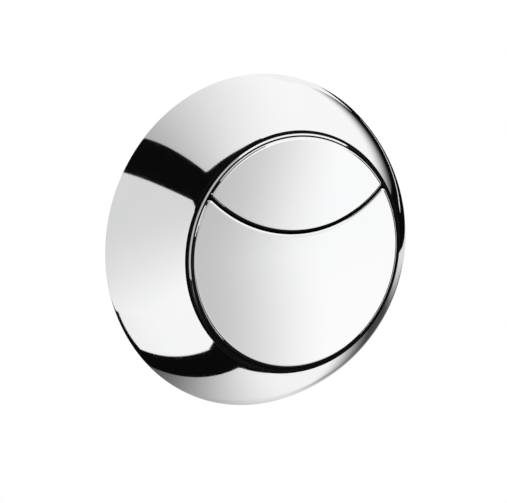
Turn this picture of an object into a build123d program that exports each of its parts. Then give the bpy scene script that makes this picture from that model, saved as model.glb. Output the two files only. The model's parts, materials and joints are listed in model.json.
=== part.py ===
from build123d import *
from math import asin, cos, pi, radians, sin, sqrt, tan
import os

# Millimetres. The origin is the middle of the finished wall behind the plate.
# +Y runs into the wall, +Z is up, and the buttons face -Y.

# Running and seating clearances
slide_clearance = 0.05
seat_clearance = 0.05
loose_clearance = 0.3

# Slope of the eased corners on hexagon nuts
hex_ease_angle = 30.0

# Domed wall plate: a zone of a sphere with its rim on the wall
plate_radius = 97.5
plate_height = 45.93
plate_wall = 2.0
rim_round = 0.6
opening_radius = 69.8
opening_round = 0.3
collar_wall = 1.6
collar_depth = 18.93
collar_flange_width = 6.8

# Rubber ring between plate and wall
seal_thickness = 4.0

# Steel mounting plate against the wall
mounting_inset = 9.5
mounting_wall = 2.0
mounting_flange_depth = 14.0
mounting_hole_radius = 33.0
mounting_window_radius = 8.0
wall_hole_inset = 13.0
wall_hole_radius = 2.75
wall_hole_count = 4
wall_hole_angle = 45.0
mounting_bend = 3.0

# Bright ring round the buttons
bezel_gap = 1.7
bezel_width = 1.3
bezel_proud = 1.37
bezel_depth = 3.0
bezel_slope = 0.23
bezel_round = 0.2
bezel_tongue_wall = 0.6
bezel_tongue_length = 1.8

# Carrier cup that holds the buttons
carrier_clearance = 0.4
carrier_depth = 18.3
carrier_floor_wall = 3.0
carrier_shelf_wall = 1.6
carrier_well_wall = 1.8
carrier_guide_radius = 6.0
carrier_guide_length = 8.0
carrier_window_radius = 4.5

# Buttons: one crowned disc parted by an arc
button_clearance = 0.5
button_proud = 1.6
button_crown = 2.4
button_wall = 2.2
button_top_wall = 2.4
button_depth = 8.9
button_edge_round = 1.1
button_corner_round = 1.2
split_low = 12.2
split_radius = 78.0
split_gap = 1.3
rib_wall = 2.0
rib_depth = 3.6

# Hinges of the buttons
hinge_setback = 5.9
hinge_inset = 11.3
hinge_pin_radius = 1.5
hinge_pin_overhang = 0.5
ear_radius = 3.4
ear_inner = 9.5
ear_wall = 5.0
ear_gap = 0.5
post_radius = 3.2
post_wall = 5.0

# Push rods between buttons and pilot valves
rod_height = 17.0
rod_radius = 2.5
cap_radius = 4.5
cap_length = 6.2
cap_roof = 2.7
cap_dome_radius = 12.0
cap_play = 0.2
press_boss_radius = 4.5
press_boss_proud = 0.6

# Return springs on the push rods
return_wire = 0.4
return_mean_radius = 3.5
return_turns = 4

# Pillars and screws of the carrier
pillar_inset = 10.7
pillar_radius = 4.4
pillar_tail_radius = 2.4
pillar_count = 4
pillar_angle = 45.0
carrier_screw_radius = 1.9
carrier_screw_length = 12.0
carrier_head_radius = 3.8
carrier_head_height = 2.8
carrier_drive_width = 1.0
carrier_drive_depth = 1.4
carrier_drive_reach = 2.3
carrier_head_chamfer = 0.7

# Valve body: stepped barrel along Y
body_flange_radius = 46.0
body_flange_wall = 7.0
barrel_radius = 30.0
barrel_back = 50.0
neck_radius = 21.0
neck_back = 80.0
cylinder_radius = 22.0
cylinder_back = 46.0
seat_pocket_radius = 20.0
seat_back = 51.0
outlet_chamber_radius = 14.0
outlet_chamber_back = 74.0
body_edge_round = 1.5

# Screws that hold the body to the mounting plate
body_screw_circle = 40.0
body_screw_count = 3
body_screw_angle = 90.0
body_screw_radius = 2.4
body_screw_depth = 6.0
body_head_radius = 4.3
body_head_height = 4.0
body_socket = 4.0
body_socket_depth = 2.4
tapping_clearance = 0.1

# Bonnet: screwed cover of the chamber
bonnet_radius = 31.0
bonnet_front = -9.0
bonnet_thread_radius = 25.4
bonnet_thread_back = 10.0
bonnet_roof = 2.5
bonnet_recess_wall = 3.2
bonnet_boss_radius = 6.0
bonnet_boss_height = 3.5
bonnet_notch_count = 6
bonnet_notch_radius = 3.0
gasket_thickness = 1.0

# Pilot valves
stem_radius = 2.0
stem_reach = 3.5
pilot_head_radius = 4.0
pilot_head_wall = 2.0
pilot_seal_wall = 1.5
pilot_seal_radius = 3.8

# Piston, its washer and its spring
piston_front = 20.0
piston_disc_wall = 9.0
piston_nose_radius = 15.5
piston_nose_back = 42.0
piston_clearance = 0.3
piston_groove_radius = 18.5
piston_groove_front = 22.5
piston_groove_wall = 4.0
spring_pocket_radius = 9.0
spring_pocket_back = 33.0
washer_wall = 3.5
washer_hole_radius = 4.0
piston_screw_radius = 3.5
piston_screw_front = 35.0
piston_screw_flange = 8.0
piston_screw_head = 2.5
piston_drive_width = 1.6
piston_drive_depth = 1.4
piston_wire = 0.6
piston_mean_radius = 7.6
piston_turns = 5

# Valve seat
seat_bore_radius = 12.0
seat_nose_wall = 1.6
seat_nose_height = 0.5

# Inlet branch along +X with the stopcock across it
inlet_depth = 37.0
inlet_bore_radius = 8.0
inlet_branch_radius = 13.0
inlet_thread_radius = 13.2
inlet_length = 90.0
inlet_thread_length = 18.0
strainer_pocket_radius = 10.5
strainer_length = 13.0
strainer_wall = 0.8
strainer_slot_count = 8
strainer_slot_width = 2.0
strainer_slot_margin = 2.5
strainer_rim_setback = 0.5
stopcock_offset = 56.0
stopcock_boss_radius = 15.0
stopcock_boss_front = 16.0
stopcock_boss_back = 54.0
plug_radius = 11.0
plug_front = 26.0
plug_back = 50.0
spindle_radius = 5.0
spindle_front = 6.0
spindle_slot_width = 1.6
spindle_slot_depth = 2.0
gland_thread_radius = 12.5
gland_hex_radius = 14.5
gland_ease = 1.4
gland_front = 11.0
gland_seal_radius = 7.5
gland_seal_wall = 3.0

# Outlet branch along -Z with its union and vacuum breaker
outlet_depth = 63.0
outlet_bore_radius = 12.5
outlet_thread_radius = 16.6
nut_room = 1.0
outlet_thread_length = 9.0
washer_thickness = 2.0
union_flange_radius = 16.2
union_flange_wall = 3.0
union_neck_radius = 14.5
nut_lip_wall = 3.0
nut_hex_radius = 22.0
nut_ease = 2.2
breaker_neck_length = 2.0
breaker_bulb_length = 14.0
breaker_bulb_radius = 19.5
breaker_wall = 2.5
breaker_round = 2.0
air_hole_radius = 1.8
air_hole_count = 8
air_hole_drop = 4.5
sleeve_flange_wall = 1.5
sleeve_wall = 1.2
sleeve_tail_radius = 10.5
sleeve_length = 8.5
socket_radius = 14.1
socket_wall = 2.6
socket_stop_wall = 2.0
socket_length = 18.0


# Solids of revolution and bars
def bar_y(radius, front, back, x=0.0, z=0.0):
    """Round bar along Y from front to back."""
    bar = Cylinder(radius, back - front, align=(Align.CENTER, Align.CENTER, Align.MIN))
    return Pos(x, front, z) * Rot(-90, 0, 0) * bar


def bar_x(radius, start, end, y, z=0.0):
    """Round bar along X from start to end."""
    bar = Cylinder(radius, end - start, align=(Align.CENTER, Align.CENTER, Align.MIN))
    return Pos(start, y, z) * Rot(0, 90, 0) * bar


def bar_z(radius, top, bottom, y, x=0.0):
    """Round bar along Z from top down to bottom."""
    bar = Cylinder(radius, top - bottom, align=(Align.CENTER, Align.CENTER, Align.MIN))
    return Pos(x, y, bottom) * bar


def tube_y(outer, inner, front, back, x=0.0, z=0.0):
    """Round tube along Y."""
    return bar_y(outer, front, back, x, z) - bar_y(inner, front, back, x, z)


def turned_y(*points):
    """Solid turned about Y from (radius, y) points."""
    return revolve(make_face(Polyline(*points, close=True)), Axis.Y)


def turned_z(y, *points):
    """Solid turned about a vertical axis at depth y from (radius, z) points."""
    outline = Plane.XZ * make_face(Polyline(*points, close=True))
    return Pos(0, y, 0) * revolve(outline, Axis.Z)


def facing_plane(y, x=0.0, z=0.0):
    """Plane across Y that looks to the front, with X to the right and Z up."""
    return Plane((x, y, z), x_dir=(1, 0, 0), z_dir=(0, -1, 0))


def hexagon_y(radius, front, back, x=0.0, z=0.0):
    """Hexagon bar along Y; radius runs to its corners."""
    return extrude(facing_plane(back, x, z) * RegularPolygon(radius, 6), back - front)


def block(x_from, x_to, y_from, y_to, z_from, z_to):
    """Box between two corners."""
    box = Box(x_to - x_from, y_to - y_from, z_to - z_from)
    return Pos((x_from + x_to) / 2, (y_from + y_to) / 2, (z_from + z_to) / 2) * box


def circle_places(radius, count, start_angle):
    """(x, z) places round the Y axis."""
    angles = [radians(start_angle + 360 * index / count) for index in range(count)]
    return [(radius * cos(angle), radius * sin(angle)) for angle in angles]


def coil_spring(mean_radius, wire, turns, front, back, x=0.0, z=0.0):
    """Round wire wound about Y between two seats."""
    height = back - front - 2 * wire
    path = Helix(height / turns, height, mean_radius)
    section = Plane(path @ 0, z_dir=path % 0) * Circle(wire)
    coil = sweep(section, path, is_frenet=True)
    return Pos(x, front + wire, z) * Rot(-90, 0, 0) * coil


# Sizes that follow from the driving dimensions
dome_centre = (plate_radius**2 - opening_radius**2 - plate_height**2) / (2 * plate_height)
dome_radius = sqrt(plate_radius**2 + dome_centre**2)
inner_dome_radius = dome_radius - plate_wall
carrier_radius = opening_radius - carrier_clearance
bezel_radius = opening_radius - bezel_gap
bezel_inner = bezel_radius - bezel_width
bezel_front = -plate_height - bezel_proud
tongue_radius = bezel_inner + bezel_tongue_wall
collar_back = collar_depth - plate_height
collar_flange_radius = opening_radius - collar_flange_width
collar_flange_front = collar_back - collar_wall
mounting_radius = plate_radius - mounting_inset
wall_hole_circle = mounting_radius - wall_hole_inset
shelf_back = collar_flange_front - seat_clearance
shelf_front = shelf_back - carrier_shelf_wall
well_radius = collar_flange_radius - loose_clearance
pillar_circle = well_radius - pillar_inset
carrier_front = bezel_front + bezel_depth
carrier_floor_front = carrier_front + carrier_depth
carrier_floor_back = carrier_floor_front + carrier_floor_wall
carrier_guide_back = carrier_floor_front + carrier_guide_length
button_radius = bezel_inner - button_clearance
button_edge = bezel_front - button_proud
button_apex = button_edge - button_crown
button_skirt_back = button_edge + button_depth
crown_radius = (button_radius**2 + button_crown**2) / (2 * button_crown)
split_centre = split_low + split_radius
hinge_y = button_edge + hinge_setback
hinge_height = button_radius - hinge_inset
press_boss_back = button_skirt_back + press_boss_proud
cap_front = press_boss_back + cap_play
cap_back = cap_front + cap_length
rod_front = cap_front + cap_roof
rod_back = bonnet_front - stem_reach
post_inner = ear_inner + ear_wall + ear_gap
post_outer = post_inner + post_wall
body_thread_radius = bonnet_thread_radius + seat_clearance
bonnet_recess_radius = bonnet_thread_radius - bonnet_recess_wall
stem_back = bonnet_roof + pilot_seal_wall
washer_back = piston_nose_back + washer_wall
seat_front = washer_back + seat_clearance
inlet_thread_start = inlet_length - inlet_thread_length
strainer_start = inlet_length - strainer_length
nut_top = -barrel_radius - nut_room
outlet_end = nut_top - outlet_thread_length
union_flange_top = outlet_end - washer_thickness
union_neck_top = union_flange_top - union_flange_wall
nut_bottom = union_neck_top - nut_lip_wall
breaker_bulb_top = nut_bottom - breaker_neck_length
breaker_bulb_back = breaker_bulb_top - breaker_bulb_length
air_hole_height = breaker_bulb_top - air_hole_drop
chamber_top = breaker_bulb_top - breaker_wall
chamber_back = breaker_bulb_back + breaker_wall
chamber_radius = breaker_bulb_radius - breaker_wall
sleeve_tail_back = chamber_top - sleeve_length
socket_top = breaker_bulb_back - socket_stop_wall
socket_end = socket_top - socket_length


# Front pieces
def make_wall_plate():
    round_radius = opening_radius + opening_round
    reach = dome_radius - opening_round
    round_y = dome_centre - sqrt(reach**2 - round_radius**2)
    tangent = Vector(round_radius, round_y - dome_centre).normalized()
    dome_end = (tangent.X * dome_radius, dome_centre + tangent.Y * dome_radius)
    mid_angle = (asin(tangent.X) - pi / 2) / 2
    round_mid = (
        round_radius + opening_round * sin(mid_angle),
        round_y - opening_round * cos(mid_angle),
    )
    rim_angle = asin(plate_radius / dome_radius)
    inner_rim = sqrt(inner_dome_radius**2 - dome_centre**2)
    collar_radius = opening_radius + collar_wall
    collar_angle = asin(collar_radius / inner_dome_radius)
    inner_rim_angle = asin(inner_rim / inner_dome_radius)

    def dome_point(radius, angle):
        return (radius * sin(angle), dome_centre - radius * cos(angle))

    outer_mid = dome_point(dome_radius, (rim_angle + asin(tangent.X)) / 2)
    inner_mid = dome_point(inner_dome_radius, (inner_rim_angle + collar_angle) / 2)
    collar_front = dome_point(inner_dome_radius, collar_angle)
    outline = [
        ThreePointArc((plate_radius, 0), outer_mid, dome_end),
        ThreePointArc(dome_end, round_mid, (opening_radius, round_y)),
        Polyline(
            (opening_radius, round_y),
            (opening_radius, collar_flange_front),
            (collar_flange_radius, collar_flange_front),
            (collar_flange_radius, collar_back),
            (collar_radius, collar_back),
            collar_front,
        ),
        ThreePointArc(collar_front, inner_mid, (inner_rim, 0)),
        Line((inner_rim, 0), (plate_radius, 0)),
    ]
    section = make_face(outline)
    rim = section.vertices().sort_by(Axis.X)[-1]
    return revolve(fillet(rim, rim_round), Axis.Y)


def make_plate_seal():
    inner = mounting_radius + loose_clearance
    band = tube_y(plate_radius, inner, -seal_thickness, 0)
    return band & (Pos(0, dome_centre, 0) * Sphere(inner_dome_radius - seat_clearance))


def make_mounting_plate():
    plate = bar_y(mounting_radius, -mounting_flange_depth, 0)
    plate = fillet(plate.edges().sort_by(Axis.Y)[-1], mounting_bend)
    inner = mounting_radius - mounting_wall
    hollow = bar_y(inner, -mounting_flange_depth, -mounting_wall)
    plate -= fillet(hollow.edges().sort_by(Axis.Y)[-1], mounting_bend - mounting_wall)
    plate -= bar_y(mounting_hole_radius, -mounting_wall, 0)
    plate -= bar_y(mounting_window_radius, -mounting_wall, 0, stopcock_offset)
    for x, z in circle_places(wall_hole_circle, wall_hole_count, wall_hole_angle):
        plate -= bar_y(wall_hole_radius, -mounting_wall, 0, x, z)
    for x, z in circle_places(pillar_circle, pillar_count, pillar_angle):
        plate -= bar_y(pillar_tail_radius + seat_clearance, -mounting_wall, 0, x, z)
    for x, z in circle_places(body_screw_circle, body_screw_count, body_screw_angle):
        plate -= bar_y(body_screw_radius + loose_clearance, -mounting_wall, 0, x, z)
    return plate


def make_bezel_ring():
    tongue_front = carrier_front - bezel_tongue_length - seat_clearance
    rebate = tongue_radius + seat_clearance
    section = make_face(Polyline(
        (bezel_inner, bezel_front),
        (bezel_radius, bezel_front + bezel_slope),
        (bezel_radius, carrier_front),
        (rebate, carrier_front),
        (rebate, tongue_front),
        (bezel_inner, tongue_front),
        close=True,
    ))
    front_corners = section.vertices().sort_by(Axis.Y)[:2]
    return revolve(fillet(front_corners, bezel_round), Axis.Y)


def make_carrier():
    well_inner = well_radius - carrier_well_wall
    carrier = turned_y(
        (0, carrier_floor_front),
        (well_inner, carrier_floor_front),
        (well_inner, shelf_front),
        (bezel_inner, shelf_front),
        (bezel_inner, carrier_front - bezel_tongue_length),
        (tongue_radius, carrier_front - bezel_tongue_length),
        (tongue_radius, carrier_front),
        (carrier_radius, carrier_front),
        (carrier_radius, shelf_back),
        (well_radius, shelf_back),
        (well_radius, carrier_floor_back),
        (0, carrier_floor_back),
    )
    floor = (carrier_floor_front, carrier_floor_back)
    guide = (carrier_floor_front, carrier_guide_back)
    for side in (-1, 1):
        carrier += bar_y(carrier_guide_radius, *guide, 0, side * rod_height)
        carrier += hinge_posts(side)
        carrier -= bar_y(rod_radius + slide_clearance, *guide, 0, side * rod_height)
        carrier -= hinge_bar(hinge_pin_radius + seat_clearance, post_outer, side)
        carrier -= bar_y(carrier_window_radius, *floor, side * stopcock_offset)
    for x, z in circle_places(pillar_circle, pillar_count, pillar_angle):
        carrier -= bar_y(carrier_screw_radius + loose_clearance, *floor, x, z)
    return carrier


def hinge_bar(radius, reach, side):
    """Bar along a hinge axis, as far as reach on both sides."""
    return bar_x(radius, -reach, reach, hinge_y, side * hinge_height)


def hinge_posts(side):
    height = side * hinge_height
    posts = Part()
    for hand in (-1, 1):
        ends = sorted((hand * post_inner, hand * post_outer))
        foot = block(*ends, hinge_y, carrier_floor_front, height - post_radius, height + post_radius)
        posts += foot + bar_x(post_radius, *ends, hinge_y, height)
    return posts


# Buttons
def split_disc(offset):
    """Round that parts the buttons, moved out or in by offset."""
    return Pos(0, split_centre) * Circle(split_radius + offset)


def button_outline(side, inset):
    """Front view of a button, drawn in by inset on all sides."""
    disc = Circle(button_radius - inset)
    margin = split_gap / 2 + inset
    if side > 0:
        outline = disc & split_disc(-margin)
    else:
        outline = disc - split_disc(margin)
    return fillet(outline.vertices(), button_corner_round)


def crown(sink):
    """Room behind the buttons' crowned front, sunk below it by sink."""
    return Pos(0, button_apex + crown_radius, 0) * Sphere(crown_radius - sink)


def prism(outline, front, back):
    """Outline in the XZ plane drawn out between two depths."""
    return extrude(facing_plane(back) * outline, back - front)


def make_button(side):
    outline = button_outline(side, 0)
    room = button_apex - button_wall
    block_form = prism(outline, room, button_skirt_back) & crown(0)
    top = block_form.faces().sort_by(Axis.Y)[0]
    shell = fillet(top.edges(), button_edge_round)
    hollow = prism(button_outline(side, button_wall), room, button_skirt_back)
    hollow &= crown(button_top_wall)
    fittings = bar_y(press_boss_radius, room, press_boss_back, 0, side * rod_height)
    height = side * hinge_height
    for hand in (-1, 1):
        ends = sorted((hand * ear_inner, hand * (ear_inner + ear_wall)))
        ear = block(*ends, room, hinge_y, height - ear_radius, height + ear_radius)
        ear += bar_x(ear_radius, *ends, hinge_y, height)
        middle = hand * (ear_inner + ear_wall / 2)
        rib_back = button_edge + button_top_wall + rib_depth
        rib_sides = (middle - rib_wall / 2, middle + rib_wall / 2)
        rib = block(*rib_sides, room, rib_back, -hinge_height, hinge_height)
        fittings = fittings + ear + rib
    fittings -= hinge_bar(hinge_pin_radius + slide_clearance, post_outer, side)
    return shell - (hollow - fittings)


def make_hinge_pin(side):
    return hinge_bar(hinge_pin_radius, post_outer + hinge_pin_overhang, side)


# Push rods and pilot valves
def make_push_cap(side):
    bore = rod_radius + seat_clearance
    bore_front = rod_front - seat_clearance
    half = cap_radius / 2
    apex = (0, cap_front)
    middle = (half, cap_front + cap_dome_radius - sqrt(cap_dome_radius**2 - half**2))
    edge = (cap_radius, cap_front + cap_dome_radius - sqrt(cap_dome_radius**2 - cap_radius**2))
    outline = [
        ThreePointArc(apex, middle, edge),
        Polyline(edge, (cap_radius, cap_back), (bore, cap_back), (bore, bore_front), (0, bore_front), apex),
    ]
    return Pos(0, 0, side * rod_height) * revolve(make_face(outline), Axis.Y)


def make_push_rod(side):
    return bar_y(rod_radius, rod_front, rod_back, 0, side * rod_height)


def make_return_spring(side):
    ends = (cap_back, carrier_floor_front)
    return coil_spring(return_mean_radius, return_wire, return_turns, *ends, 0, side * rod_height)


def make_pilot_stem(side):
    height = side * rod_height
    stem = bar_y(stem_radius, rod_back, stem_back, 0, height)
    return stem + bar_y(pilot_head_radius, stem_back, stem_back + pilot_head_wall, 0, height)


def make_pilot_seal(side):
    front = bonnet_roof + seat_clearance
    return tube_y(pilot_seal_radius, stem_radius, front, stem_back, 0, side * rod_height)


# Pillars and screws
def make_carrier_pillars():
    pillars = Part()
    bore = carrier_screw_radius + tapping_clearance
    bore_back = carrier_floor_front + carrier_screw_length + tapping_clearance
    for x, z in circle_places(pillar_circle, pillar_count, pillar_angle):
        pillar = hexagon_y(pillar_radius, carrier_floor_back, -mounting_wall, x, z)
        pillar += bar_y(pillar_tail_radius, -mounting_wall, 0, x, z)
        pillars += pillar - bar_y(bore, carrier_floor_back, bore_back, x, z)
    return pillars


def make_carrier_screws():
    screws = Part()
    head_front = carrier_floor_front - carrier_head_height
    for x, z in circle_places(pillar_circle, pillar_count, pillar_angle):
        head = bar_y(carrier_head_radius, head_front, carrier_floor_front, x, z)
        head = chamfer(head.edges().sort_by(Axis.Y)[0], carrier_head_chamfer)
        shank_back = carrier_floor_front + carrier_screw_length
        screw = head + bar_y(carrier_screw_radius, carrier_floor_front, shank_back, x, z)
        half = carrier_drive_width / 2
        arm = carrier_drive_reach
        drive_back = head_front + carrier_drive_depth
        screw -= block(x - half, x + half, head_front, drive_back, z - arm, z + arm)
        screw -= block(x - arm, x + arm, head_front, drive_back, z - half, z + half)
        screws += screw
    return screws


def make_body_screws():
    screws = Part()
    head_front = -mounting_wall - body_head_height
    for x, z in circle_places(body_screw_circle, body_screw_count, body_screw_angle):
        head = bar_y(body_head_radius, head_front, -mounting_wall, x, z)
        screw = head + bar_y(body_screw_radius, -mounting_wall, body_screw_depth, x, z)
        screws += screw - hexagon_y(body_socket / sqrt(3), head_front, head_front + body_socket_depth, x, z)
    return screws


# Valve body and what closes it
def cast_bar(radius, front, back, x=0.0):
    """Round bar along Y with its back edge rounded as cast."""
    bar = bar_y(radius, front, back, x)
    return fillet(bar.edges().sort_by(Axis.Y)[-1], body_edge_round)


def make_valve_body():
    body = cast_bar(body_flange_radius, 0, body_flange_wall)
    body += cast_bar(barrel_radius, 0, barrel_back)
    body += cast_bar(neck_radius, 0, neck_back)
    body += bar_x(inlet_branch_radius, 0, inlet_length, inlet_depth)
    body += bar_x(inlet_thread_radius, inlet_thread_start, inlet_length, inlet_depth)
    body += cast_bar(stopcock_boss_radius, stopcock_boss_front, stopcock_boss_back, stopcock_offset)
    body += bar_z(outlet_thread_radius, 0, outlet_end, outlet_depth)
    body -= bar_y(body_thread_radius, 0, bonnet_thread_back + seat_clearance)
    body -= bar_y(cylinder_radius, 0, cylinder_back)
    body -= bar_y(seat_pocket_radius + seat_clearance, 0, seat_back)
    body -= bar_y(outlet_chamber_radius, 0, outlet_chamber_back)
    body -= bar_x(inlet_bore_radius, 0, inlet_length, inlet_depth)
    body -= bar_x(strainer_pocket_radius, strainer_start, inlet_length, inlet_depth)
    body -= bar_y(plug_radius + slide_clearance, stopcock_boss_front, plug_back, stopcock_offset)
    gland_bore = gland_thread_radius + seat_clearance
    body -= bar_y(gland_bore, stopcock_boss_front, plug_front, stopcock_offset)
    body -= bar_z(outlet_bore_radius, 0, outlet_end, outlet_depth)
    for x, z in circle_places(body_screw_circle, body_screw_count, body_screw_angle):
        body -= bar_y(body_screw_radius + tapping_clearance, 0, body_flange_wall, x, z)
    return body


def make_bonnet():
    bonnet = bar_y(bonnet_radius, bonnet_front, -gasket_thickness)
    bonnet += bar_y(bonnet_thread_radius, -gasket_thickness, bonnet_thread_back)
    bonnet -= bar_y(bonnet_recess_radius, bonnet_roof, bonnet_thread_back)
    bonnet += bar_y(bonnet_boss_radius, bonnet_roof, bonnet_roof + bonnet_boss_height)
    for x, z in circle_places(bonnet_radius, bonnet_notch_count, 0):
        bonnet -= bar_y(bonnet_notch_radius, bonnet_front, -gasket_thickness, x, z)
    for side in (-1, 1):
        stem_bore = stem_radius + slide_clearance
        bonnet -= bar_y(stem_bore, bonnet_front, bonnet_roof, 0, side * rod_height)
    return bonnet


def make_bonnet_seal():
    inner = body_thread_radius + loose_clearance
    return tube_y(bonnet_radius - bonnet_notch_radius, inner, -gasket_thickness, 0)


# Piston and seat
def make_piston():
    disc_radius = cylinder_radius - piston_clearance
    disc_back = piston_front + piston_disc_wall
    piston = bar_y(disc_radius, piston_front, disc_back)
    piston += bar_y(piston_nose_radius, disc_back, piston_nose_back)
    groove_back = piston_groove_front + piston_groove_wall
    piston -= tube_y(cylinder_radius, piston_groove_radius, piston_groove_front, groove_back)
    piston -= bar_y(spring_pocket_radius, piston_front, spring_pocket_back)
    return piston - bar_y(piston_screw_radius + tapping_clearance, spring_pocket_back, piston_nose_back)


def make_piston_seal():
    front = piston_groove_front + seat_clearance
    back = piston_groove_front + piston_groove_wall - seat_clearance
    inner = piston_groove_radius + seat_clearance
    lip = cylinder_radius - slide_clearance
    heel = cylinder_radius - piston_clearance
    return turned_y((inner, front), (lip, front), (heel, back), (inner, back))


def make_piston_washer():
    return tube_y(piston_nose_radius, washer_hole_radius, piston_nose_back, washer_back)


def make_piston_screw():
    head_back = washer_back + piston_screw_head
    screw = bar_y(piston_screw_radius, piston_screw_front, washer_back)
    screw += bar_y(piston_screw_flange, washer_back, head_back)
    half = piston_drive_width / 2
    arm = piston_screw_flange
    return screw - block(-arm, arm, head_back - piston_drive_depth, head_back, -half, half)


def make_piston_spring():
    return coil_spring(piston_mean_radius, piston_wire, piston_turns, bonnet_roof, spring_pocket_back)


def make_seat_ring():
    shoulder = seat_front + seat_nose_height
    nose = seat_bore_radius + seat_nose_wall
    return turned_y(
        (seat_bore_radius, seat_front),
        (nose, seat_front),
        (nose, shoulder),
        (seat_pocket_radius, shoulder),
        (seat_pocket_radius, seat_back),
        (seat_bore_radius, seat_back),
    )


# Inlet pieces
def make_stopcock_plug():
    plug = bar_y(plug_radius, plug_front, plug_back - seat_clearance, stopcock_offset)
    plug += bar_y(spindle_radius, spindle_front, plug_front, stopcock_offset)
    reach = stopcock_offset + plug_radius
    plug -= bar_x(inlet_bore_radius, stopcock_offset - plug_radius, reach, inlet_depth)
    half = spindle_slot_width / 2
    slot_back = spindle_front + spindle_slot_depth
    near = stopcock_offset - spindle_radius
    far = stopcock_offset + spindle_radius
    return plug - block(near, far, spindle_front, slot_back, -half, half)


def make_stopcock_gland():
    back = plug_front - seat_clearance
    slope = gland_ease * tan(radians(hex_ease_angle))
    gland = hexagon_y(gland_hex_radius, gland_front, stopcock_boss_front)
    gland &= turned_y(
        (0, gland_front),
        (gland_hex_radius - gland_ease, gland_front),
        (gland_hex_radius, gland_front + slope),
        (gland_hex_radius, stopcock_boss_front),
        (0, stopcock_boss_front),
    )
    gland = Pos(stopcock_offset, 0, 0) * gland
    gland += bar_y(gland_thread_radius, stopcock_boss_front, back, stopcock_offset)
    gland -= bar_y(spindle_radius + slide_clearance, gland_front, back, stopcock_offset)
    return gland - bar_y(gland_seal_radius + seat_clearance, back - gland_seal_wall, back, stopcock_offset)


def make_stopcock_seal():
    back = plug_front - seat_clearance
    inner = spindle_radius + slide_clearance
    return tube_y(gland_seal_radius, inner, back - gland_seal_wall, back, stopcock_offset)


def make_inlet_strainer():
    outer = strainer_pocket_radius - seat_clearance
    end = inlet_length - strainer_rim_setback
    cup = bar_x(outer, strainer_start, end, inlet_depth)
    cup -= bar_x(outer - strainer_wall, strainer_start + strainer_wall, end, inlet_depth)
    half = strainer_slot_width / 2
    slot_start = strainer_start + strainer_slot_margin
    slot_end = end - strainer_slot_margin
    for index in range(strainer_slot_count // 2):
        slot = block(slot_start, slot_end, -half, half, -outer, outer)
        cup -= Pos(0, inlet_depth, 0) * Rot(360 * index / strainer_slot_count, 0, 0) * slot
    end_wall = (strainer_start, strainer_start + strainer_wall)
    end_slot = block(*end_wall, -half, half, -inlet_bore_radius, inlet_bore_radius)
    return cup - Pos(0, inlet_depth, 0) * end_slot


# Outlet pieces
def make_outlet_washer():
    washer = bar_z(union_flange_radius, outlet_end, union_flange_top, outlet_depth)
    return washer - bar_z(outlet_bore_radius, outlet_end, union_flange_top, outlet_depth)


def make_outlet_nut():
    outline = Plane((0, outlet_depth, nut_bottom)) * RegularPolygon(nut_hex_radius, 6)
    slope = nut_ease * tan(radians(hex_ease_angle))
    nut = extrude(outline, nut_top - nut_bottom) & turned_z(
        outlet_depth,
        (0, nut_top),
        (nut_hex_radius - nut_ease, nut_top),
        (nut_hex_radius, nut_top - slope),
        (nut_hex_radius, nut_bottom + slope),
        (nut_hex_radius - nut_ease, nut_bottom),
        (0, nut_bottom),
    )
    nut -= bar_z(outlet_thread_radius + seat_clearance, nut_top, union_neck_top, outlet_depth)
    return nut - bar_z(union_neck_radius + seat_clearance, union_neck_top, nut_bottom, outlet_depth)


def make_breaker_body():
    socket_outer = socket_radius + socket_wall
    body = turned_z(
        outlet_depth,
        (0, union_flange_top),
        (union_flange_radius, union_flange_top),
        (union_flange_radius, union_neck_top),
        (union_neck_radius, union_neck_top),
        (union_neck_radius, breaker_bulb_top),
        (breaker_bulb_radius, breaker_bulb_top),
        (breaker_bulb_radius, breaker_bulb_back),
        (socket_outer, breaker_bulb_back),
        (socket_outer, socket_end),
        (0, socket_end),
    )
    bulb_edges = body.edges().filter_by(lambda edge: abs(edge.radius - breaker_bulb_radius) < seat_clearance
                                        if edge.geom_type == GeomType.CIRCLE else False)
    body = fillet(bulb_edges, breaker_round)
    body -= bar_z(outlet_bore_radius, union_flange_top, socket_end, outlet_depth)
    body -= bar_z(chamber_radius, chamber_top, chamber_back, outlet_depth)
    body -= bar_z(socket_radius, socket_top, socket_end, outlet_depth)
    for index in range(air_hole_count):
        hole = bar_x(air_hole_radius, chamber_radius / 2, breaker_bulb_radius, 0, air_hole_height)
        body -= Pos(0, outlet_depth, 0) * Rot(0, 0, 360 * index / air_hole_count) * hole
    return body


def make_breaker_sleeve():
    top = chamber_top - seat_clearance
    shoulder = top - sleeve_flange_wall
    rim = chamber_radius - seat_clearance
    return turned_z(
        outlet_depth,
        (outlet_bore_radius - sleeve_wall, top),
        (rim, top),
        (rim, shoulder),
        (outlet_bore_radius, shoulder),
        (sleeve_tail_radius, sleeve_tail_back),
        (sleeve_tail_radius - sleeve_wall, sleeve_tail_back),
        (outlet_bore_radius - sleeve_wall, shoulder),
    )


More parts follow.
